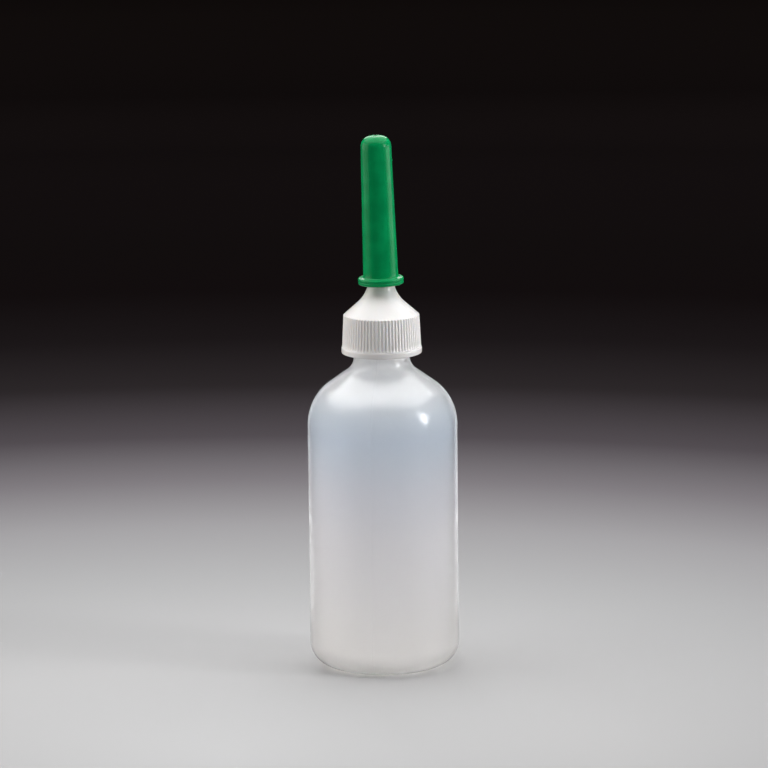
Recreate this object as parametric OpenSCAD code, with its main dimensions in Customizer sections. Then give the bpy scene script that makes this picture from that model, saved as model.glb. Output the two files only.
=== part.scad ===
// Small squeeze feeding bottle: blown bottle, sealing washer, screw cap with spout, slip-on teat.
// Millimetres, +Z up, origin at the centre of the ring that the bottle stands on.

/* [Bottle body] */
// Outside diameter of the body
body_d = 61; // [58:0.5:63]
// Wall thickness of the blown bottle
wall = 1.2; // [0.8:0.1:1.4]
// Height at which the straight side ends and the shoulder starts
shoulder_z = 99.8; // [80:0.1:101]
// Radius of the shoulder's curve
shoulder_r = 21; // [19:0.1:22]
// Angle that the shoulder turns through before it runs straight to the neck
shoulder_turn = 54.5; // [50:0.5:58]
// Radius of the hollow curve between the shoulder and the neck
neck_fillet = 6.75; // [5:0.25:8]
// Outside diameter of the neck, below the thread
neck_d = 22.7; // [22:0.1:23.5]
// Radius of the rounded heel
heel_r = 9.8; // [8:0.1:11]
// Width of the flat ring that the bottle stands on
foot_w = 3; // [2:0.25:4]
// Height of the pushed-up middle of the base
push_up = 2.2; // [1:0.1:3]

/* [Neck finish] */
// Diameter over the bottle's thread
thread_d = 27.5; // [27.3:0.05:27.6]
// Diameter of the neck between the turns of the thread
finish_d = 25.2; // [25:0.05:25.4]
// Height of the threaded neck, from its foot to its lip
finish_h = 12; // [11.5:0.1:12.5]
// Rise of the thread in one turn
pitch = 4.2333; // [4.1:0.0001:4.3]
// Depth from the lip to the middle of the thread's upper end
thread_below_lip = 2.4; // [2.2:0.1:2.6]
// Angle that the bottle's thread runs through
bottle_thread_turn = 540; // [500:5:545]

/* [Cap] */
// Height of the cap's lower edge when it is screwed down
cap_z = 129.3; // [129.2:0.05:129.6]
// Diameter of the bead around the cap's lower edge
bead_d = 32.6; // [32.4:0.1:33]
// Height of the bead
bead_h = 2.5; // [2:0.1:3]
// Diameter over the ribs, just above the bead
skirt_low_d = 32.1; // [31.9:0.1:32.4]
// Diameter over the ribs, at the cone's edge
skirt_top_d = 30.8; // [30.6:0.1:31]
// Height of the ribbed skirt, from the lower edge to the cone's edge
skirt_h = 15.45; // [15:0.05:16]
// Depth inside the skirt, from the lower edge to the face that presses on the washer
cap_depth = 14.4; // [14.2:0.1:14.6]
// Number of grooves around the skirt
groove_count = 72; // [36:4:80]
// Depth of each groove
groove_depth = 0.42; // [0.2:0.02:0.5]
// Slope of the cone above the horizontal
cone_slope = 41.8; // [40:0.2:43]
// Radius of the hollow curve between the cone and the spout
spout_fillet = 14; // [13:0.25:15]
// Outside diameter of the spout at its foot
spout_d = 9.9; // [9.6:0.1:10]
// Outside diameter of the spout at its tip
spout_tip_d = 8.4; // [8:0.1:8.6]
// Height of the spout's tip above the cap's lower edge
spout_tip_h = 46.8; // [44:0.2:47.5]
// Diameter of the bore through the spout
spout_bore_d = 4.8; // [4:0.1:5]
// Wall thickness of the cone
cone_wall = 1.6; // [1.4:0.1:1.8]
// Diameter of the hollow inside the cone
hollow_d = 20.8; // [20.4:0.2:21.6]
// Diameter inside the skirt, at the root of the cap's thread
cap_bore_d = 28.2; // [28.1:0.05:28.3]
// Diameter inside the cap's thread
cap_thread_d = 25.9; // [25.8:0.05:26]
// Angle that the cap's thread runs through
cap_thread_turn = 460; // [420:5:465]

/* [Liner] */
// Thickness of the sealing washer
liner_t = 1; // [0.8:0.1:1.1]
// Outside diameter of the sealing washer
liner_d = 27.4; // [27:0.1:27.8]

/* [Teat] */
// Height of the teat's lower face on the spout
teat_z = 157.5; // [157.4:0.1:158]
// Length of the teat, over all
teat_len = 60.5; // [56:0.5:64]
// Diameter of the flange at the teat's foot
flange_d = 18.4; // [17.5:0.1:20]
// Thickness of the flange
flange_t = 2.75; // [2.5:0.05:3]
// Outside diameter of the teat, just above the flange
teat_low_d = 14.2; // [13.8:0.1:15]
// Outside diameter of the teat, at the start of its rounded end
teat_top_d = 12.4; // [12:0.1:13]
// Radius of the rounded edge at the teat's end
teat_end_r = 4.3; // [4:0.1:4.8]
// Diameter of the socket that grips the spout
socket_d = 10.5; // [10.4:0.05:10.6]
// Depth of the socket
socket_h = 21; // [20:0.5:24]
// Wall thickness of the teat above the socket
teat_wall = 1.9; // [1.6:0.1:2.1]
// Diameter of the feed hole in the teat's end
feed_hole_d = 1.6; // [1:0.1:2.5]
// Angle that the teat leans over on the spout, towards -X
teat_lean = 1.5; // [0:0.1:1.6]

/* [Hidden] */

body_r = body_d / 2;
neck_r = neck_d / 2;
mouth_r = neck_r - wall;
finish_r = finish_d / 2;

// Rise of the thread flanks for each millimetre of radius
flank_slope = 0.48;
// Half the thickness of each thread at its root
root_half_w = 1.15;
// Gap between the loaded flanks
flank_gap = 0.15;
// How far a thread runs into the wall that carries it
thread_root = 0.3;
// Angle over which a thread's ends grow to their full height
thread_lead_in = 37.5;
// Angle between one cross-section of a thread and the next
thread_step = 7.5;

lip_chamfer = 0.5;
seal_z = cap_z + cap_depth;
lip_z = seal_z - liner_t;
finish_z = lip_z - finish_h;
neck_shelf = finish_r - neck_r;
// Height of the middle of the bottle's thread at its lower end
bottle_thread_z = lip_z - thread_below_lip - pitch * bottle_thread_turn / 360;

// The cap's thread starts this far before the bottle's thread, and lies just below it
cap_thread_start = -60;
thread_overlap = (thread_d - cap_thread_d) / 2;
cap_thread_drop = 2 * root_half_w - flank_slope * (thread_d - finish_d) / 2
    - flank_slope * (cap_bore_d - cap_thread_d) / 2 + flank_slope * thread_overlap + flank_gap;

cap_bore_r = cap_bore_d / 2;
skirt_top_r = skirt_top_d / 2;
skirt_top_z = cap_z + skirt_h;
skirt_low_r = skirt_low_d / 2;
bead_r = bead_d / 2;
bead_round = 0.6;
bead_top_z = cap_z + bead_h;
cap_chamfer = 0.5;
edge_chamfer = 0.3;
spout_r = spout_d / 2;
spout_tip_z = cap_z + spout_tip_h;
hollow_r = hollow_d / 2;
// The spout's bore is straight for this part of the cap's height, down from the tip
straight_bore = 0.25;

flange_edge_r = 0.6;
flange_fillet = 0.8;
socket_chamfer = 0.8;

// Points along an arc about [cx, cy], from one angle to another
function arc(cx, cy, r, from, to, n = 8) =
    [for (i = [0:n]) let (a = from + (to - from) * i / n) [cx + r * cos(a), cy + r * sin(a)]];

// Outline of one skin of the bottle's side, from the heel up to the neck, moved in by inset
function side_points(inset) =
    let (
        turn = shoulder_turn,
        centre_r = body_r - shoulder_r,
        fillet = neck_fillet + inset,
        end_r = centre_r + (shoulder_r - inset) * cos(turn),
        end_z = shoulder_z + (shoulder_r - inset) * sin(turn),
        neck = neck_r - inset,
        // Length of the straight run between the shoulder's arc and the fillet
        run = (end_r - neck - fillet * (1 - cos(turn))) / sin(turn),
        fillet_z = end_z + run * cos(turn) + fillet * sin(turn)
    )
    concat(
        arc(body_r - heel_r, heel_r, heel_r - inset, -90, 0),
        arc(centre_r, shoulder_z, shoulder_r - inset, 0, turn, 14),
        arc(neck + fillet, fillet_z, fillet, 180 + turn, 180)
    );

// Outline of one skin of the base, from the middle out to the standing ring, moved in by inset
function base_points(inset) =
    let (
        foot_in = body_r - heel_r - foot_w,
        dish_r = (foot_in * foot_in + push_up * push_up) / (2 * push_up)
    )
    arc(0, push_up - dish_r, dish_r + inset, 90, 90 - asin(foot_in / dish_r));

function reversed(points) = [for (i = [len(points) - 1:-1:0]) points[i]];

// A helical ridge of trapezoid section about the Z axis, right-handed, rising from z0 at angle 0
module thread(root_r, crest_r, z0, from, to) {
    count = round((to - from) / thread_step);
    embed = crest_r > root_r ? -thread_root : thread_root;
    height = abs(crest_r - root_r);
    function grow(i) =
        let (lead = thread_lead_in / thread_step) min(1, (i + 0.5) / lead, (count - i + 0.5) / lead);
    function section(i) =
        let (
            a = from + i * thread_step,
            z = z0 + pitch * a / 360,
            tip_r = root_r + (crest_r - root_r) * grow(i),
            base_w = root_half_w + flank_slope * thread_root,
            tip_w = root_half_w - flank_slope * height * grow(i)
        )
        [
            for (p = [[root_r + embed, -base_w], [tip_r, -tip_w], [tip_r, tip_w], [root_r + embed, base_w]])
                [p[0] * cos(a), p[0] * sin(a), z + p[1]]
        ];
    sides = [
        for (i = [0:count - 1]) for (k = [0:3]) let (a = 4 * i + k, b = 4 * i + (k + 1) % 4)
            each [[a, b, b + 4], [a, b + 4, a + 4]]
    ];
    last = 4 * count;
    ends = [[0, 3, 2], [0, 2, 1], [last, last + 1, last + 2], [last, last + 2, last + 3]];
    faces = concat(sides, ends);
    points = [for (i = [0:count]) each section(i)];
    // An inward ridge has its section mirrored, so its faces turn the other way
    polyhedron(points, crest_r > root_r ? faces : [for (f = faces) reversed(f)]);
}

module bottle() {
    color([0.86, 0.88, 0.9, 0.75]) {
        rotate_extrude() polygon(concat(
            base_points(0),
            side_points(0),
            [
                [neck_r, finish_z - neck_shelf],
                [finish_r, finish_z],
                [finish_r, lip_z - lip_chamfer],
                [finish_r - lip_chamfer, lip_z],
                [mouth_r, lip_z]
            ],
            reversed(side_points(wall)),
            reversed(base_points(wall))
        ));
        thread(finish_r, thread_d / 2, bottle_thread_z, 0, bottle_thread_turn);
    }
}

module liner() {
    color("ivory")
        translate([0, 0, lip_z])
        difference() {
            cylinder(h = liner_t, r = liner_d / 2, $fn = 96);
            translate([0, 0, -1]) cylinder(h = liner_t + 2, r = mouth_r, $fn = 96);
        }
}

// The cap's cone and the hollow curve into the spout, moved in by inset, from the cone's edge up
function cone_points(inset) =
    let (
        turn = 90 - cone_slope,
        fillet = spout_fillet + inset,
        foot = spout_r - inset,
        edge_r = skirt_top_r - inset * cos(turn),
        edge_z = skirt_top_z - inset * sin(turn),
        run = (edge_r - foot - fillet * (1 - cos(turn))) / sin(turn),
        fillet_z = edge_z + run * cos(turn) + fillet * sin(turn)
    )
    concat([[edge_r, edge_z]], arc(foot + fillet, fillet_z, fillet, 180 + turn, 180));

// The same on the inside, starting where the hollow's upright wall meets the cone
function hollow_points() =
    let (points = cone_points(cone_wall), edge = points[0])
    concat(
        [
            [hollow_r, seal_z],
            [hollow_r, edge[1] + (edge[0] - hollow_r) * tan(cone_slope)]
        ],
        [for (i = [1:len(points) - 1]) points[i]]
    );

module grooves() {
    height = skirt_h - bead_h;
    taper = atan((skirt_low_r - skirt_top_r) / height);
    bar = 2;
    // A square bar on its edge cuts a groove of 90 degrees, and runs out through the cone's edge
    for (i = [0:groove_count - 1])
        rotate([0, 0, i * 360 / groove_count])
            translate([skirt_low_r - groove_depth, 0, bead_top_z])
            rotate([0, -taper, 0])
            rotate([0, 0, -45])
            cube([bar, bar, height + bar]);
}

module cap() {
    tip_r = spout_tip_d / 2;
    // The bead's rounded top ends where it meets the ribs
    bead_turn = acos((skirt_low_r - bead_r + bead_round) / bead_round);
    color("white") {
        difference() {
            rotate_extrude() polygon(concat(
                [
                    [cap_bore_r + cap_chamfer, cap_z],
                    [bead_r - edge_chamfer, cap_z],
                    [bead_r, cap_z + edge_chamfer]
                ],
                arc(bead_r - bead_round, bead_top_z - bead_round, bead_round, 0, bead_turn, 4),
                [[skirt_low_r, bead_top_z]],
                cone_points(0),
                [
                    [tip_r, spout_tip_z - edge_chamfer],
                    [tip_r - edge_chamfer, spout_tip_z],
                    [spout_bore_d / 2, spout_tip_z],
                    [spout_bore_d / 2, spout_tip_z - straight_bore * spout_tip_h]
                ],
                reversed(hollow_points()),
                [
                    [cap_bore_r, seal_z],
                    [cap_bore_r, cap_z + cap_chamfer]
                ]
            ));
            grooves();
        }
        thread(cap_bore_r, cap_thread_d / 2, bottle_thread_z - cap_thread_drop,
            cap_thread_start, cap_thread_start + cap_thread_turn);
    }
}

module teat() {
    low_r = teat_low_d / 2;
    top_r = teat_top_d / 2;
    flange_r = flange_d / 2;
    socket_r = socket_d / 2;
    end_z = teat_len - teat_end_r;
    color([0.02, 0.5, 0.26])
        translate([0, 0, teat_z])
        rotate([0, -teat_lean, 0])
        difference() {
            rotate_extrude() polygon(concat(
                [
                    [socket_r, socket_chamfer],
                    [socket_r + socket_chamfer, 0]
                ],
                arc(flange_r - flange_edge_r, flange_edge_r, flange_edge_r, -90, 0, 4),
                arc(flange_r - flange_edge_r, flange_t - flange_edge_r, flange_edge_r, 0, 90, 4),
                arc(low_r + flange_fillet, flange_t + flange_fillet, flange_fillet, 270, 180, 4),
                arc(top_r - teat_end_r, end_z, teat_end_r, 0, 90),
                [[0, teat_len]],
                [[0, teat_len - teat_wall]],
                arc(top_r - teat_end_r, end_z, teat_end_r - teat_wall, 90, 0),
                [[socket_r, socket_h]]
            ));
            translate([0, 0, teat_len - 2 * teat_wall])
                cylinder(h = 3 * teat_wall, r = feed_hole_d / 2, $fn = 48);
        }
}

bottle();
liner();
cap();
teat();
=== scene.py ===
from math import asin, atan2, cos, degrees, hypot, pi, radians, sin, tan

import bpy
import numpy as np
from mathutils import Matrix, Vector


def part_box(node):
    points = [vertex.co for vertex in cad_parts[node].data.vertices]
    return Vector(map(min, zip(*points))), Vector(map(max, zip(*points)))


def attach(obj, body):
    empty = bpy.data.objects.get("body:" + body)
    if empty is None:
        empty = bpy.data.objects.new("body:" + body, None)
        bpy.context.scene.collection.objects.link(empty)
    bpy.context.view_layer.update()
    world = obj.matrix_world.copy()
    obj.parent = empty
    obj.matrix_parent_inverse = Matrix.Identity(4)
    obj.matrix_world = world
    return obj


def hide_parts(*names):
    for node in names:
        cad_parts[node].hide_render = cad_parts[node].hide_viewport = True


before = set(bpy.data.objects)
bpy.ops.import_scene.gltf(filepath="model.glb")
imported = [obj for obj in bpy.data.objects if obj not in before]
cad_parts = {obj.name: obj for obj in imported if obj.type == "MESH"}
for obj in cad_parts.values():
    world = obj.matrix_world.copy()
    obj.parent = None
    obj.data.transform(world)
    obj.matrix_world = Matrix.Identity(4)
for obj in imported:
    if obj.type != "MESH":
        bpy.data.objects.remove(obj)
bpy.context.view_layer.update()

# Profiles are worked out in millimetres and made in metres.
MM = 0.001

bottle_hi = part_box("bottle")[1] / MM
liner_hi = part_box("liner")[1] / MM
cap_lo, cap_hi = [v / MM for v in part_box("cap")]

# Angles run from +X towards +Y, in degrees. The camera looks along +Y, so -90 faces it.
FRONT = -90

# The bottle: body, shoulder, neck and heel
BODY_R = bottle_hi.x
BODY_COLUMNS = 240
WALL = 1.2
SHOULDER_Z = 99.8
SHOULDER_R = 21
SHOULDER_TURN = 54.5
NECK_FILLET = 6.75
NECK_R = 11.35
MOUTH_R = NECK_R - WALL
HEEL_R = 9.8
FOOT_W = 3
PUSH_UP = 2.2
# How deep the walls' slow unevenness is, and how long its waves are up the wall
BLOWN_WAVE = 0.05
WAVE_LEN = 70
# The painted shade and light in the bottle's colour run from the foot to here
BODY_TOP = 128

# The threaded neck, and the thread: its pitch, turns, and how far its upper end is under the lip
LIP_Z = bottle_hi.z
FINISH_R = 12.6
FINISH_H = 12
FINISH_Z = LIP_Z - FINISH_H
STEP_Z = FINISH_Z - (FINISH_R - NECK_R)
THREAD_R = 13.75
PITCH = 4.2333
THREAD_TURN = 540
THREAD_DROP = 2.4
THREAD_Z = LIP_Z - THREAD_DROP - PITCH * THREAD_TURN / 360
ROOT_HALF_W = 1.15
FLANK_SLOPE = 0.48
LEAD_IN = 37.5
# Rows of points as far apart as this carry the thread, and stay clear of both edges
THREAD_ROW = 0.12
THREAD_CLEAR = 0.6
THREAD_TOP = LIP_Z - THREAD_CLEAR

# The mould's parting line, its pinch-off scar under the base, and the ring around the base's middle
SEAM = FRONT - 9
SEAM_H = 0.06
SEAM_W = 0.2
SCAR_D = 0.35
SCAR_W = 0.45
SCAR_END_R = 13.5
DIP_R = 3.2
DIP_W = 0.8

# The cap: bead, ribbed skirt, cone, spout, and the thread inside
CAP_Z = cap_lo.z
BEAD_R = cap_hi.x
BEAD_H = 2.5
SKIRT_LOW_R = 16.05
SKIRT_TOP_R = 15.4
SKIRT_H = 15.45
SEAL_Z = liner_hi.z
GROOVES = 72
GROOVE_DEPTH = 0.34
GROOVE_SLOPE = 0.65
GROOVE_FLOOR = 0.1
RIB_SOFT = 0.09
CONE_SLOPE = 41.8
SPOUT_FILLET = 14
SPOUT_R = 4.95
TIP_R = 4.2
TIP_Z = cap_hi.z
SPOUT_BORE_R = 2.4
CONE_WALL = 1.6
HOLLOW_R = 10.4
CAP_BORE_R = 14.1
CAP_THREAD_R = 12.95
CAP_THREAD_TURN = 460
CAP_THREAD_START = -60
CAP_THREAD_DROP = 1.73
BORE_CHAMFER = 0.5
BORE_ROW = 0.16
BORE_FOOT = 1.2
BORE_TOP = SEAL_Z - 0.3
TIP_BORE = 11.7

# The teat, in its own frame: it stands on Z = 0, and then leans and goes up to TEAT_Z
TEAT_Z = 157.5
TEAT_LEN = 60.5
TEAT_LEAN = 1.5
FLANGE_R = 9.2
FLANGE_T = 2.75
FLANGE_LINE_D = 0.22
FLANGE_LINE_W = 0.3
TEAT_LOW_R = 7.1
TEAT_TOP_R = 6.2
TEAT_END_R = 4.3
SOCKET_R = 5.25
SOCKET_H = 21
SOCKET_LEAD_H = 0.9
SOCKET_LEAD_W = 0.75
TEAT_WALL = 1.9
TEAT_WAVE = 0.035
FEED_HOLE_R = 0.8

# The camera stands where its picture of the object falls on the photo's outline
CAMERA_AT = (0.00077, -2.5, 0.612)
CAMERA_TILT = 78.78
CAMERA_ROLL = -0.62
CAMERA_LENS = 294.5


# ---------------------------------------------------------------- profiles and surfaces

def arc(cx, cz, r, start, end, n=12):
    """Points along an arc about (cx, cz), from one angle to another."""
    turn = [radians(start + (end - start) * i / n) for i in range(n + 1)]
    return [(cx + r * cos(a), cz + r * sin(a)) for a in turn]


def rounded(corners, n=5):
    """A path of (r, z) points; a third number rounds that corner to that radius."""
    path = []
    for i, corner in enumerate(corners):
        here = Vector(corner[:2])
        if len(corner) < 3:
            path.append(tuple(here))
            continue
        back = (Vector(corners[i - 1][:2]) - here).normalized()
        ahead = (Vector(corners[(i + 1) % len(corners)][:2]) - here).normalized()
        half = back.angle(ahead) / 2
        reach = corner[2] / tan(half)
        centre = here + (back + ahead).normalized() * (corner[2] / sin(half))
        first, last = here + back * reach - centre, here + ahead * reach - centre
        start = atan2(first.y, first.x)
        turn = (atan2(last.y, last.x) - start + pi) % (2 * pi) - pi
        path += arc(*centre, corner[2], degrees(start), degrees(start + turn), n)
    return path


def refined(path, step, closed=False):
    """The same path, with no stretch longer than step."""
    out = []
    ends = path[1:] + path[:1] if closed else path[1:]
    for p, q in zip(path, ends):
        n = max(1, round(hypot(q[0] - p[0], q[1] - p[1]) / step + 0.3))
        out += [(p[0] + (q[0] - p[0]) * i / n, p[1] + (q[1] - p[1]) * i / n) for i in range(n)]
    return out if closed else out + [path[-1]]


def revolve(name, path, columns, shape=None, closed=False):
    """A closed surface of revolution about Z. shape changes (r, z, angle) of every point.

    An open path starts and ends on the axis, and a closed one goes round a ring. It runs
    up on the outside, so that every face looks outwards."""
    rings = path if closed else path[1:-1]
    r, z = [np.array([p[i] for p in rings], float)[:, None] for i in (0, 1)]
    a = np.array(columns, float)[None, :]
    r, z, a = r + 0 * a, z + 0 * a, a + 0 * r
    if shape:
        r, z = shape(r, z, a)
    t = np.radians(a)
    verts = np.stack([r * np.cos(t), r * np.sin(t), z], -1).reshape(-1, 3)
    count, n = len(rings), len(columns)
    faces = []
    for k in range(count if closed else count - 1):
        low, high = k * n, (k + 1) % count * n
        for j in range(n):
            i = (j + 1) % n
            faces.append((low + j, low + i, high + i, high + j))
    if not closed:
        poles = [[0, 0, path[0][1]], [0, 0, path[-1][1]]]
        verts = np.concatenate([verts, poles])
        first, last, top = count * n, count * n + 1, (count - 1) * n
        for j in range(n):
            i = (j + 1) % n
            faces.append((first, i, j))
            faces.append((last, top + j, top + i))
    mesh = bpy.data.meshes.new(name)
    mesh.from_pydata((verts * MM).tolist(), [], faces)
    mesh.polygons.foreach_set("use_smooth", [True] * len(faces))
    mesh.update()
    obj = bpy.data.objects.new(name, mesh)
    bpy.context.scene.collection.objects.link(obj)
    return obj


def even_columns(count):
    """Angles evenly around the axis."""
    return [a * 360 / count for a in range(count)]


def smoothstep(x):
    x = np.clip(x, 0, 1)
    return x * x * (3 - 2 * x)


def helix(a, z, start_z, start, turn):
    """How high a thread stands at angle a and height z, from 0 to 1."""
    high = np.zeros_like(z)
    for lap in range(-1, 3):
        run = (a % 360) + 360 * lap
        grow = np.minimum(run - start, start + turn - run) / LEAD_IN
        off = np.abs(z - start_z - PITCH * run / 360)
        crest = smoothstep((ROOT_HALF_W - off) / (FLANK_SLOPE * (THREAD_R - FINISH_R)))
        high = np.maximum(high, crest * np.clip(grow, 0, 1))
    return high


def waves(a, z, amount, seed):
    """A slow, smooth unevenness from 0 down to -amount, as a blown or moulded wall has."""
    draw = np.random.default_rng(seed)
    total = 0
    for turns in (2, 3, 5, 7):
        phase, tilt = draw.uniform(0, 360), draw.uniform(-2.4, 2.4)
        rise = draw.uniform(0.7, 1.3) * 360 / WAVE_LEN
        total = total + np.cos(np.radians(turns * a + phase + tilt * z)) * np.cos(
            np.radians(rise * z + phase)) / turns ** 0.5
    return -amount * (0.5 + 0.5 * np.tanh(total))


# ---------------------------------------------------------------- bottle

def side_path(inset):
    """One skin of the bottle's side, from the heel up to the neck."""
    turn = radians(SHOULDER_TURN)
    centre_r = BODY_R - SHOULDER_R
    fillet = NECK_FILLET + inset
    end_r = centre_r + (SHOULDER_R - inset) * cos(turn)
    end_z = SHOULDER_Z + (SHOULDER_R - inset) * sin(turn)
    neck = NECK_R - inset
    run = (end_r - neck - fillet * (1 - cos(turn))) / sin(turn)
    fillet_z = end_z + run * cos(turn) + fillet * sin(turn)
    return (arc(BODY_R - HEEL_R, HEEL_R, HEEL_R - inset, -90, 0)
            + arc(centre_r, SHOULDER_Z, SHOULDER_R - inset, 0, SHOULDER_TURN, 24)
            + arc(neck + fillet, fillet_z, fillet, 180 + SHOULDER_TURN, 180))


def base_path(inset):
    """One skin of the pushed-up base, from the middle out to the standing ring."""
    foot_in = BODY_R - HEEL_R - FOOT_W
    dish = (foot_in ** 2 + PUSH_UP ** 2) / (2 * PUSH_UP)
    return arc(0, PUSH_UP - dish, dish + inset, 90, 90 - degrees(asin(foot_in / dish)))


def bottle_columns():
    """Angles around the bottle, closer together at the two parting lines."""
    lines = (SEAM, SEAM + 180)
    near = [s + side * d for s in lines for d in (0, 0.35, 0.7, 1.15, 1.8) for side in (1, -1)]
    clear = 2.2
    even = [a for a in even_columns(BODY_COLUMNS)
            if min(abs((a - s + 180) % 360 - 180) for s in lines) > clear]
    return sorted(set(round(a % 360, 4) for a in even + near))


def make_bottle():
    lip = rounded([
        (NECK_R, STEP_Z - 0.6),
        (NECK_R, STEP_Z, 0.4),
        (FINISH_R, FINISH_Z, 0.4),
        (FINISH_R, LIP_Z, 0.5),
        (MOUTH_R, LIP_Z, 0.3),
        (MOUTH_R, LIP_Z - 2)])
    outer = refined(base_path(0) + side_path(0), 2.4) + lip[:-1]
    # Dense rows, so that the thread is real shape
    low = max(i for i, p in enumerate(outer) if p[1] <= FINISH_Z + 0.5 and p[0] > NECK_R)
    rows = int((THREAD_TOP - FINISH_Z - THREAD_CLEAR) / THREAD_ROW)
    dense = [(FINISH_R, FINISH_Z + THREAD_CLEAR + THREAD_ROW * i) for i in range(rows)]
    outer = outer[:low + 1] + dense + outer[low + 1:]
    inner = refined(side_path(WALL)[::-1] + base_path(WALL)[::-1], 3.5)
    path = outer + [lip[-1]] + inner
    outside = (np.arange(len(path) - 2) < len(outer) - 1)[:, None]

    def shape(r, z, a):
        r0 = r.copy()
        on_finish = outside & (np.abs(r0 - FINISH_R) < 0.02) & (z < THREAD_TOP)
        r = r + (THREAD_R - FINISH_R) * on_finish * helix(a, z, THREAD_Z, 0, THREAD_TURN)
        on_wall = (z > HEEL_R) & (z < SHOULDER_Z + 30)
        fade = smoothstep((z - HEEL_R) / 20) * smoothstep((SHOULDER_Z + 26 - z) / 12)
        r = r + waves(a, z, BLOWN_WAVE, 3) * on_wall * fade
        # The parting line stands up from the outside, and runs over the base as a pinch-off
        off = (a - SEAM + 90) % 180 - 90
        aside = np.abs(r0 * np.sin(np.radians(off)))
        ridge = SEAM_H * np.exp(-(aside / SEAM_W) ** 2) * outside
        r = r + ridge * (z > 0.5)
        scar = np.exp(-(aside / SCAR_W) ** 2) * smoothstep((SCAR_END_R - r0) / 2.5)
        dip = np.exp(-((r0 - DIP_R) / DIP_W) ** 2)
        under = outside & (z < 3) & (r0 < 17)
        z = z - SCAR_D * (scar + dip) * under
        return r, z

    return revolve("bottle_body", path, bottle_columns(), shape)


# ---------------------------------------------------------------- liner

def make_liner():
    ring = rounded([
        (MOUTH_R, LIP_Z, 0.12), (liner_hi.x, LIP_Z, 0.2),
        (liner_hi.x, SEAL_Z, 0.2), (MOUTH_R, SEAL_Z, 0.12)], 4)
    ring = refined(ring, 0.6, closed=True)
    return revolve("liner_ring", ring, even_columns(128), closed=True)


# ---------------------------------------------------------------- cap

def cone_path(inset):
    """One skin of the cone and of the hollow curve into the spout."""
    turn = radians(90 - CONE_SLOPE)
    fillet = SPOUT_FILLET + inset
    foot = SPOUT_R - inset
    edge_r = SKIRT_TOP_R - inset * cos(turn)
    edge_z = CAP_Z + SKIRT_H - inset * sin(turn)
    run = (edge_r - foot - fillet * (1 - cos(turn))) / sin(turn)
    fillet_z = edge_z + run * cos(turn) + fillet * sin(turn)
    return [(edge_r, edge_z)] + arc(foot + fillet, fillet_z, fillet, 270 - CONE_SLOPE, 180, 14)


def cap_columns():
    """Angles around the cap, eight to each rib."""
    share = (0, 0.1, 0.22, 0.33, 0.5, 0.67, 0.78, 0.9)
    return [(i + s) * 360 / GROOVES for i in range(GROOVES) for s in share]


def make_cap():
    bead_top = CAP_Z + BEAD_H
    edge = cone_path(0)[0]
    cone = refined(cone_path(0), 1.6)
    fine_edge = refined([edge, cone[1]], 0.25)[1:]
    outside = rounded([
        (CAP_BORE_R + BORE_CHAMFER, CAP_Z), (BEAD_R, CAP_Z, 0.3), (BEAD_R, bead_top, 0.55),
        (SKIRT_LOW_R - 0.02, bead_top, 0.12), (edge[0], edge[1], 0.35), (cone[1][0], cone[1][1])])
    outside = refined(outside[:-1], 0.9) + fine_edge[2:] + cone[2:]
    tip = rounded([
        cone[-1], (TIP_R, TIP_Z, 0.35), (SPOUT_BORE_R, TIP_Z, 0.25), (SPOUT_BORE_R, TIP_Z - TIP_BORE)])
    hollow = cone_path(CONE_WALL)
    roof_z = hollow[0][1] + (hollow[0][0] - HOLLOW_R) * tan(radians(CONE_SLOPE))
    inner = [(HOLLOW_R, SEAL_Z), (HOLLOW_R, roof_z)] + hollow[1:]
    inner = refined(inner[::-1], 2.2)
    rows = int((BORE_TOP - CAP_Z - BORE_FOOT) / BORE_ROW)
    bore = [(CAP_BORE_R, BORE_TOP - BORE_ROW * i) for i in range(rows)]
    ledge = refined([(HOLLOW_R, SEAL_Z), (CAP_BORE_R, SEAL_Z)], 1.4)[1:]
    path = (outside + refined(tip[1:], 1.6) + inner[1:] + ledge + bore
            + [(CAP_BORE_R, CAP_Z + BORE_CHAMFER), (CAP_BORE_R + 0.15, CAP_Z + 0.2)])
    taper = (SKIRT_LOW_R - SKIRT_TOP_R) / (SKIRT_H - BEAD_H)

    def shape(r, z, a):
        r0 = r.copy()
        inside = np.abs(r0 - CAP_BORE_R) < 0.02
        start_z = THREAD_Z - CAP_THREAD_DROP
        high = helix(a, z, start_z, CAP_THREAD_START, CAP_THREAD_TURN)
        r = r - (CAP_BORE_R - CAP_THREAD_R) * inside * high * (z < BORE_TOP - 0.1)
        # Grooves: the surface never stands outside a V that narrows towards its rounded floor
        step = 360 / GROOVES
        off = (a - FRONT + step / 2) % step - step / 2
        aside = np.abs(np.radians(off)) * r0
        floor = SKIRT_LOW_R - GROOVE_DEPTH - taper * (z - bead_top)
        vee = floor + GROOVE_SLOPE * (np.sqrt(aside ** 2 + GROOVE_FLOOR ** 2) - GROOVE_FLOOR * 0.6)
        run_in = smoothstep((z - bead_top - 0.05) / 0.25)
        ribbed = (z > bead_top) & (r0 > floor - 0.3) & (r0 > CAP_BORE_R + 0.3)
        blend = np.clip(0.5 + (r0 - vee) / (2 * RIB_SOFT), 0, 1)
        cut = r0 + (vee - r0) * blend - RIB_SOFT * blend * (1 - blend)
        r = np.where(ribbed, r0 + (np.minimum(cut, r0) - r0) * run_in, r)
        return r, z

    return revolve("cap_spout", path, cap_columns(), shape, closed=True)


# ---------------------------------------------------------------- teat

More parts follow.
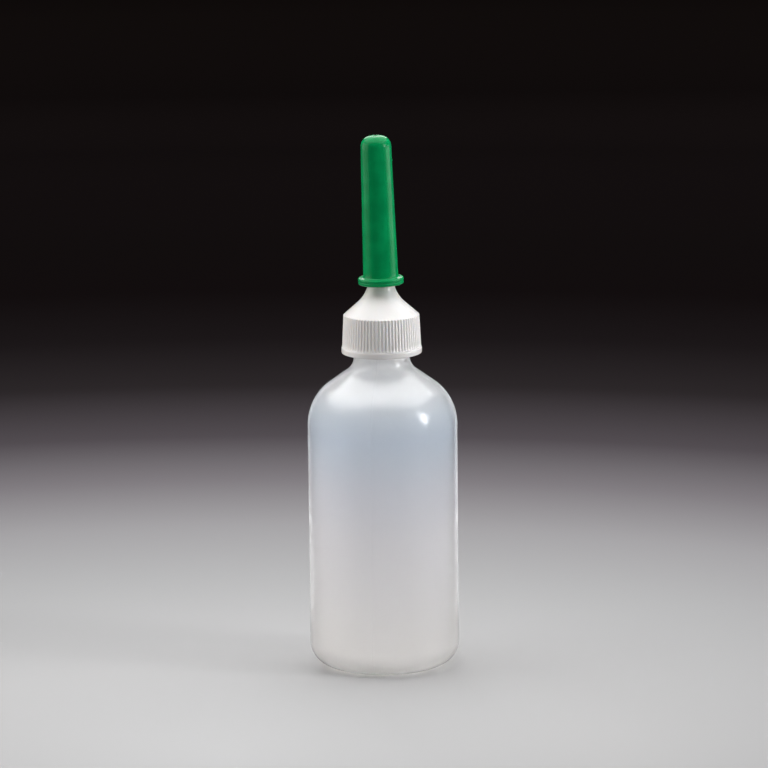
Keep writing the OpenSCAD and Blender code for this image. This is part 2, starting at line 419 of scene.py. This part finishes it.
def make_teat():
    end_z = TEAT_LEN - TEAT_END_R
    mid = FLANGE_T / 2
    outside = rounded([
        (SOCKET_R, SOCKET_LEAD_H), (SOCKET_R + SOCKET_LEAD_W, 0, 0.3), (FLANGE_R, 0, 0.55),
        (FLANGE_R, mid - FLANGE_LINE_W, 0.15), (FLANGE_R - FLANGE_LINE_D, mid, 0.1),
        (FLANGE_R, mid + FLANGE_LINE_W, 0.15),
        (FLANGE_R, FLANGE_T, 0.6), (TEAT_LOW_R, FLANGE_T, 0.8), (TEAT_LOW_R - 0.02, FLANGE_T + 2)])
    dome = arc(TEAT_TOP_R - TEAT_END_R, end_z, TEAT_END_R, 0, 90, 14)
    hole = rounded([
        dome[-1], (FEED_HOLE_R, TEAT_LEN, 0.25), (FEED_HOLE_R, TEAT_LEN - TEAT_WALL, 0.2),
        (TEAT_TOP_R - TEAT_END_R, TEAT_LEN - TEAT_WALL)])
    inner = arc(TEAT_TOP_R - TEAT_END_R, end_z, TEAT_END_R - TEAT_WALL, 90, 0, 8)
    inner += [(SOCKET_R, SOCKET_H), (SOCKET_R, SOCKET_LEAD_H)]
    path = (refined(outside[:-1], 0.8) + refined([outside[-1]] + dome[:1], 1.5) + dome[1:-1]
            + hole[1:-1] + refined(inner, 1.5)[:-1])

    def shape(r, z, a):
        side = (r > SOCKET_R + 0.4) & (z > FLANGE_T + 1) & (z < TEAT_LEN - 3)
        r = r + waves(a, z * 1.8, TEAT_WAVE, 11) * side
        return r, z

    teat = revolve("teat_body", path, even_columns(144), shape, closed=True)
    lean = Matrix.Rotation(-radians(TEAT_LEAN), 4, "Y")
    place = Matrix.Translation((0, 0, TEAT_Z * MM)) @ lean
    teat.data.transform(place)
    return teat


# ---------------------------------------------------------------- materials

class Nodes:
    """A material's node tree, with one Principled shader, built one node at a time."""

    def __init__(self, name):
        self.material = bpy.data.materials.new(name)
        self.material.use_nodes = True
        self.tree = self.material.node_tree
        self.shader = self.tree.nodes["Principled BSDF"]
        self.place = self.add("ShaderNodeTexCoord").outputs["Object"]

    def add(self, kind, **settings):
        node = self.tree.nodes.new(kind)
        for key, value in settings.items():
            setattr(node, key, value)
        return node

    def link(self, a, b):
        self.tree.links.new(a, b)

    def set(self, **values):
        for key, value in values.items():
            self.shader.inputs[key.replace("_", " ")].default_value = value

    def stretched(self, scale):
        """Object coordinates, scaled by (x, y, z)."""
        node = self.add("ShaderNodeMapping")
        node.inputs["Scale"].default_value = scale
        self.link(self.place, node.inputs["Vector"])
        return node.outputs["Vector"]

    def noise(self, scale, detail=2, stretch=None):
        node = self.add("ShaderNodeTexNoise")
        node.inputs["Scale"].default_value = scale
        node.inputs["Detail"].default_value = detail
        self.link(self.stretched(stretch) if stretch else self.place, node.inputs["Vector"])
        return node.outputs["Fac"]

    def height(self, low, high):
        """0 to 1 as Z goes from low to high, in millimetres."""
        split = self.add("ShaderNodeSeparateXYZ")
        self.link(self.place, split.inputs[0])
        node = self.add("ShaderNodeMapRange")
        node.inputs["From Min"].default_value = low * MM
        node.inputs["From Max"].default_value = high * MM
        self.link(split.outputs["Z"], node.inputs["Value"])
        return node.outputs["Result"]

    def ramp(self, value, *stops):
        """stops are (position, colour or grey)."""
        node = self.add("ShaderNodeValToRGB")
        points = node.color_ramp.elements
        while len(points) < len(stops):
            points.new(0.5)
        for point, (position, colour) in zip(points, stops):
            point.position = position
            grey = isinstance(colour, (int, float))
            point.color = (colour, colour, colour, 1) if grey else (*colour, 1)
        self.link(value, node.inputs["Fac"])
        return node.outputs["Color"]

    def mix(self, value, a, b):
        node = self.add("ShaderNodeMix", data_type="RGBA")
        self.link(value, node.inputs[0])
        for socket, colour in ((node.inputs[6], a), (node.inputs[7], b)):
            if isinstance(colour, tuple):
                socket.default_value = (*colour, 1)
            else:
                self.link(colour, socket)
        return node.outputs[2]

    def plus(self, a, b):
        node = self.add("ShaderNodeMath", operation="ADD")
        self.link(a, node.inputs[0])
        self.link(b, node.inputs[1])
        return node.outputs[0]

    def spread(self, value, low, high):
        """A noise's middle range mapped to low..high."""
        node = self.add("ShaderNodeMapRange", interpolation_type="SMOOTHSTEP")
        for key, number in (("From Min", 0.3), ("From Max", 0.7), ("To Min", low), ("To Max", high)):
            node.inputs[key].default_value = number
        self.link(value, node.inputs["Value"])
        return node.outputs["Result"]

    def bump(self, layers):
        """layers are (height socket, distance in metres, strength)."""
        last = None
        for height, distance, strength in layers:
            node = self.add("ShaderNodeBump")
            node.inputs["Strength"].default_value = strength
            node.inputs["Distance"].default_value = distance
            self.link(height, node.inputs["Height"])
            if last:
                self.link(last, node.inputs["Normal"])
            last = node.outputs["Normal"]
        self.link(last, self.shader.inputs["Normal"])


def bottle_material():
    """Frosted see-through plastic. Its colour is painted darker and bluish under the shoulder, a
    painted shade, and paler and a little warm near the base, painted light.
    """
    m = Nodes("frosted_polyethylene")
    cloud = m.noise(38, 3)
    flow = m.noise(60, 2, (1, 1, 0.12))
    up = m.height(0, BODY_TOP)
    # Painted shade and light by height: darker and bluish under the shoulder, paler and warm near the
    # base, white at the neck
    painted_light_tone = m.ramp(
        up, (0.02, (1.0, 0.985, 0.97)), (0.10, (0.985, 0.975, 0.965)), (0.26, (0.97, 0.965, 0.97)),
        (0.445, (0.94, 0.935, 0.95)), (0.60, (0.88, 0.89, 0.925)), (0.71, (0.815, 0.86, 0.91)),
        (0.76, (0.795, 0.85, 0.915)), (0.83, (0.85, 0.895, 0.94)), (0.90, (0.97, 0.975, 0.98)),
        (1.0, (1.0, 1.0, 1.0)))
    tint = m.mix(m.spread(cloud, 0, 0.06), painted_light_tone, (0.97, 0.98, 0.99))
    m.link(tint, m.shader.inputs["Base Color"])
    haze = m.ramp(up, (0.0, 0.66), (0.12, 0.68), (0.35, 0.74), (0.8, 0.85), (1.0, 0.90))
    m.link(m.plus(haze, m.spread(flow, -0.03, 0.03)), m.shader.inputs["Roughness"])
    m.bump([(flow, 0.0002, 0.10), (m.noise(900, 2), 0.00003, 0.25)])
    m.set(IOR=1.5, Transmission_Weight=1.0, Subsurface_Weight=1.0, Subsurface_Scale=0.003,
          Subsurface_Radius=(1.0, 0.85, 0.7), Specular_IOR_Level=0.2,
          Coat_Weight=1.0, Coat_Roughness=0.05, Coat_IOR=1.6)
    return m.material


def cap_material():
    m = Nodes("white_polypropylene")
    cloud = m.noise(90, 3)
    fine = m.noise(1400, 2)
    tint = m.mix(m.spread(cloud, 0, 1), (0.85, 0.835, 0.828), (0.89, 0.875, 0.868))
    m.link(tint, m.shader.inputs["Base Color"])
    m.link(m.spread(cloud, 0.15, 0.20), m.shader.inputs["Roughness"])
    m.bump([(cloud, 0.0003, 0.15), (fine, 0.00004, 0.3)])
    m.set(IOR=1.49, Subsurface_Weight=0.25, Subsurface_Scale=0.0012,
          Subsurface_Radius=(1.0, 0.8, 0.6))
    return m.material


def teat_material():
    m = Nodes("green_rubber")
    cloud = m.noise(140, 4)
    streak = m.noise(500, 2, (1, 1, 0.08))
    fine = m.noise(2600, 2)
    tint = m.mix(m.spread(cloud, 0, 1), (0.0012, 0.265, 0.08), (0.0025, 0.335, 0.103))
    m.link(tint, m.shader.inputs["Base Color"])
    m.link(m.spread(streak, 0.17, 0.22), m.shader.inputs["Roughness"])
    m.bump([(cloud, 0.0003, 0.12), (streak, 0.00006, 0.2), (fine, 0.00003, 0.35)])
    m.set(IOR=1.5, Specular_IOR_Level=0.13, Subsurface_Weight=0.1, Subsurface_Scale=0.001,
          Subsurface_Radius=(0.2, 1.0, 0.4))
    return m.material


def liner_material():
    m = Nodes("foam_liner")
    cells = m.add("ShaderNodeTexVoronoi")
    cells.inputs["Scale"].default_value = 2600
    m.link(m.place, cells.inputs["Vector"])
    tint = m.mix(m.spread(m.noise(300, 2), 0, 1), (0.80, 0.78, 0.70), (0.86, 0.84, 0.77))
    m.link(tint, m.shader.inputs["Base Color"])
    m.link(m.spread(m.noise(200), 0.55, 0.65), m.shader.inputs["Roughness"])
    m.bump([(cells.outputs["Distance"], 0.0001, 0.4)])
    return m.material


# ---------------------------------------------------------------- stage

# The middle of the floor's painted pool of light, how far out its painted tone is given, and that tone
# at distances from that middle, in metres
FLOOR_CENTRE = (-0.06, -0.15, 0)
FLOOR_REACH = 2.2
FLOOR_LIGHT_POOL_TONES = (
    (0.0, (0.565, 0.563, 0.566)), (0.15, (0.495, 0.491, 0.493)), (0.31, (0.366, 0.364, 0.369)),
    (0.41, (0.283, 0.276, 0.285)), (0.51, (0.161, 0.149, 0.16)), (0.61, (0.063, 0.0545, 0.061)),
    (0.735, (0.019, 0.0157, 0.0169)), (0.86, (0.0088, 0.0068, 0.0074)), (1.0, (0.005, 0.0035, 0.0037)),
    (1.15, (0.0054, 0.004, 0.0041)), (1.3, (0.0066, 0.0048, 0.005)), (1.48, (0.009, 0.0066, 0.0068)),
    (1.7, (0.020, 0.0145, 0.0145)), (2.1, (0.044, 0.032, 0.030)))
# A paler patch under the foot, painted light against the bottle's contact shadow, fades out between
# these distances from the axis, in metres
FOOT_PAINTED_LIGHT = (0.021, 0.031)


def sheet_floor():
    """A pale sheet whose colour falls away to near black far from the object, a painted pool of light,
    with a paler patch under the foot painted as light against the bottle's contact shadow.
    """
    bpy.ops.mesh.primitive_circle_add(vertices=96, radius=6, fill_type="NGON")
    floor = bpy.context.object
    floor.name = "stage_floor"
    m = Nodes("stage_sheet")
    length = m.add("ShaderNodeVectorMath", operation="LENGTH")
    centre = m.add("ShaderNodeVectorMath", operation="SUBTRACT")
    centre.inputs[1].default_value = FLOOR_CENTRE
    m.link(m.place, centre.inputs[0])
    m.link(centre.outputs["Vector"], length.inputs[0])
    far = m.add("ShaderNodeMapRange")
    far.inputs["From Max"].default_value = FLOOR_REACH
    m.link(length.outputs["Value"], far.inputs["Value"])
    # Painted pool of light: the sheet's colour falls with distance from the middle
    painted_light_tone = m.ramp(far.outputs["Result"], *[(d / FLOOR_REACH, painted_light_tone) for d, painted_light_tone in FLOOR_LIGHT_POOL_TONES])
    near = m.add("ShaderNodeVectorMath", operation="LENGTH")
    m.link(m.place, near.inputs[0])
    foot = m.add("ShaderNodeMapRange", interpolation_type="SMOOTHSTEP")
    for key, number in zip(("From Min", "From Max", "To Min", "To Max"), (*FOOT_PAINTED_LIGHT, 1, 0)):
        foot.inputs[key].default_value = number
    m.link(near.outputs["Value"], foot.inputs["Value"])
    # Painted light: the paler patch under the foot, where the contact shadow falls
    m.link(m.mix(foot.outputs["Result"], painted_light_tone, (0.8, 0.79, 0.78)), m.shader.inputs["Base Color"])
    m.set(Roughness=0.85, Specular_IOR_Level=0)
    floor.data.materials.append(m.material)


def soft_light(name, place, aim, size, power, colour=(1, 1, 1)):
    """A rectangular soft box at place, turned towards aim; sizes in metres, power in watts."""
    lamp = bpy.data.lights.new(name, "AREA")
    lamp.shape = "RECTANGLE"
    lamp.size, lamp.size_y = size
    lamp.energy = power
    lamp.color = colour
    obj = bpy.data.objects.new(name, lamp)
    obj.location = place
    obj.rotation_euler = (Vector(aim) - Vector(place)).to_track_quat("-Z", "Y").to_euler()
    bpy.context.scene.collection.objects.link(obj)
    return obj


def reach_only(lamp, *pieces):
    """The lamp lights these pieces alone, as a flag or a snoot would have it."""
    group = bpy.data.collections.new(lamp.name + "_reach")
    for piece in pieces:
        group.objects.link(piece)
    lamp.light_linking.receiver_collection = group
    return group


def make_lights():
    soft_light("key_overhead", (-0.08, 0.22, 0.85), (-0.08, 0.22, 0), (1.9, 1.2), 16.8)
    # Three in one: a soft box whose reflection is brightest in the middle and fades at its edge
    boxes = ((1.05, (0.42, 0.66), 2.1), (1.055, (0.28, 0.46), 1.2), (1.06, (0.16, 0.28), 0.7))
    for x, size, power in boxes:
        strip = soft_light("strip_right", (x, -0.38, 0.50), (0, 0, 0.12), size, power)
        strip.data.shape = "ELLIPSE"
    soft_light("hair_behind", (0, 1.3, 0.68), (0, 0, 0.18), (1.0, 0.35), 5)
    world = bpy.data.worlds.new("studio")
    world.use_nodes = True
    world.node_tree.nodes["Background"].inputs["Color"].default_value = (0.012, 0.011, 0.011, 1)
    bpy.context.scene.world = world


def make_fills(*pieces):
    """Side light on the cap and the teat, kept off the glossy shoulder."""
    for lamp in (
            soft_light("fill_right", (1.1, 0.15, 0.16), (0, 0, 0.16), (0.8, 0.28), 2.4),
            soft_light("fill_left", (-1.1, 0.05, 0.30), (0, 0, 0.06), (1.3, 0.8), 7, (1, 0.95, 0.9))):
        reach_only(lamp, *pieces)


def make_glow(bottle):
    """Light that only the translucent bottle takes, so that it glows as it does in a light tent."""
    for lamp in (
            soft_light("glow_side", (-1.1, 0.05, 0.03), (0, 0, 0.06), (1.3, 0.24), 4.8, (1, 0.95, 0.9)),
            soft_light("glow_flank", (1.1, 0.15, 0.04), (0, 0, 0.08), (0.8, 0.24), 2.5),
            soft_light("glow_left", (-0.9, 0.63, 0.30), (0, 0, 0.08), (0.9, 0.5), 1.0),
            soft_light("glow_right", (0.9, 0.63, 0.30), (0, 0, 0.08), (0.9, 0.5), 1.8),
            soft_light("glow_above", (-0.4, 0.22, 0.85), (-0.4, 0.22, 0), (1.8, 1.2), 3.2),
            soft_light("rim_left", (-0.13, 0.24, 0.075), (0, 0, 0.075), (0.10, 0.15), 0.02),
            soft_light("rim_right", (0.13, 0.24, 0.075), (0, 0, 0.075), (0.10, 0.15), 0.03),
            soft_light("rim_heel_left", (-0.077, 0.088, 0.02), (0, 0, 0.02), (0.05, 0.04), 0.003),
            soft_light("rim_heel_right", (0.077, 0.088, 0.02), (0, 0, 0.02), (0.05, 0.04), 0.003),
            soft_light("glow_below", (0, 0, 0.0004), (0, 0, 1), (0.048, 0.048), 0.0026)):
        lamp.visible_camera = False
        rim = lamp.name.startswith("rim")
        lamp.visible_glossy = rim or lamp.name == "glow_above"
        lamp.visible_diffuse = lamp.visible_transmission = not rim
        lamp.light_linking.blocker_collection = reach_only(lamp, bottle)


def make_camera():
    lens = bpy.data.cameras.new("camera")
    lens.lens = CAMERA_LENS
    camera = bpy.data.objects.new("camera", lens)
    place = Matrix.Translation(CAMERA_AT)
    tilt = Matrix.Rotation(radians(CAMERA_TILT), 4, "X")
    roll = Matrix.Rotation(radians(CAMERA_ROLL), 4, "Z")
    camera.matrix_world = place @ tilt @ roll
    bpy.context.scene.collection.objects.link(camera)
    bpy.context.scene.camera = camera


# ---------------------------------------------------------------- put together

def finish_piece(obj, body, material):
    obj.data.materials.append(material)
    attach(obj, body)
    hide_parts(body)


make_camera()
sheet_floor()
make_lights()
bpy.context.scene.view_settings.view_transform = "Standard"

bottle, liner, cap, teat = make_bottle(), make_liner(), make_cap(), make_teat()
finish_piece(bottle, "bottle", bottle_material())
finish_piece(liner, "liner", liner_material())
finish_piece(cap, "cap", cap_material())
finish_piece(teat, "teat", teat_material())
make_fills(liner, cap, teat)
make_glow(bottle)
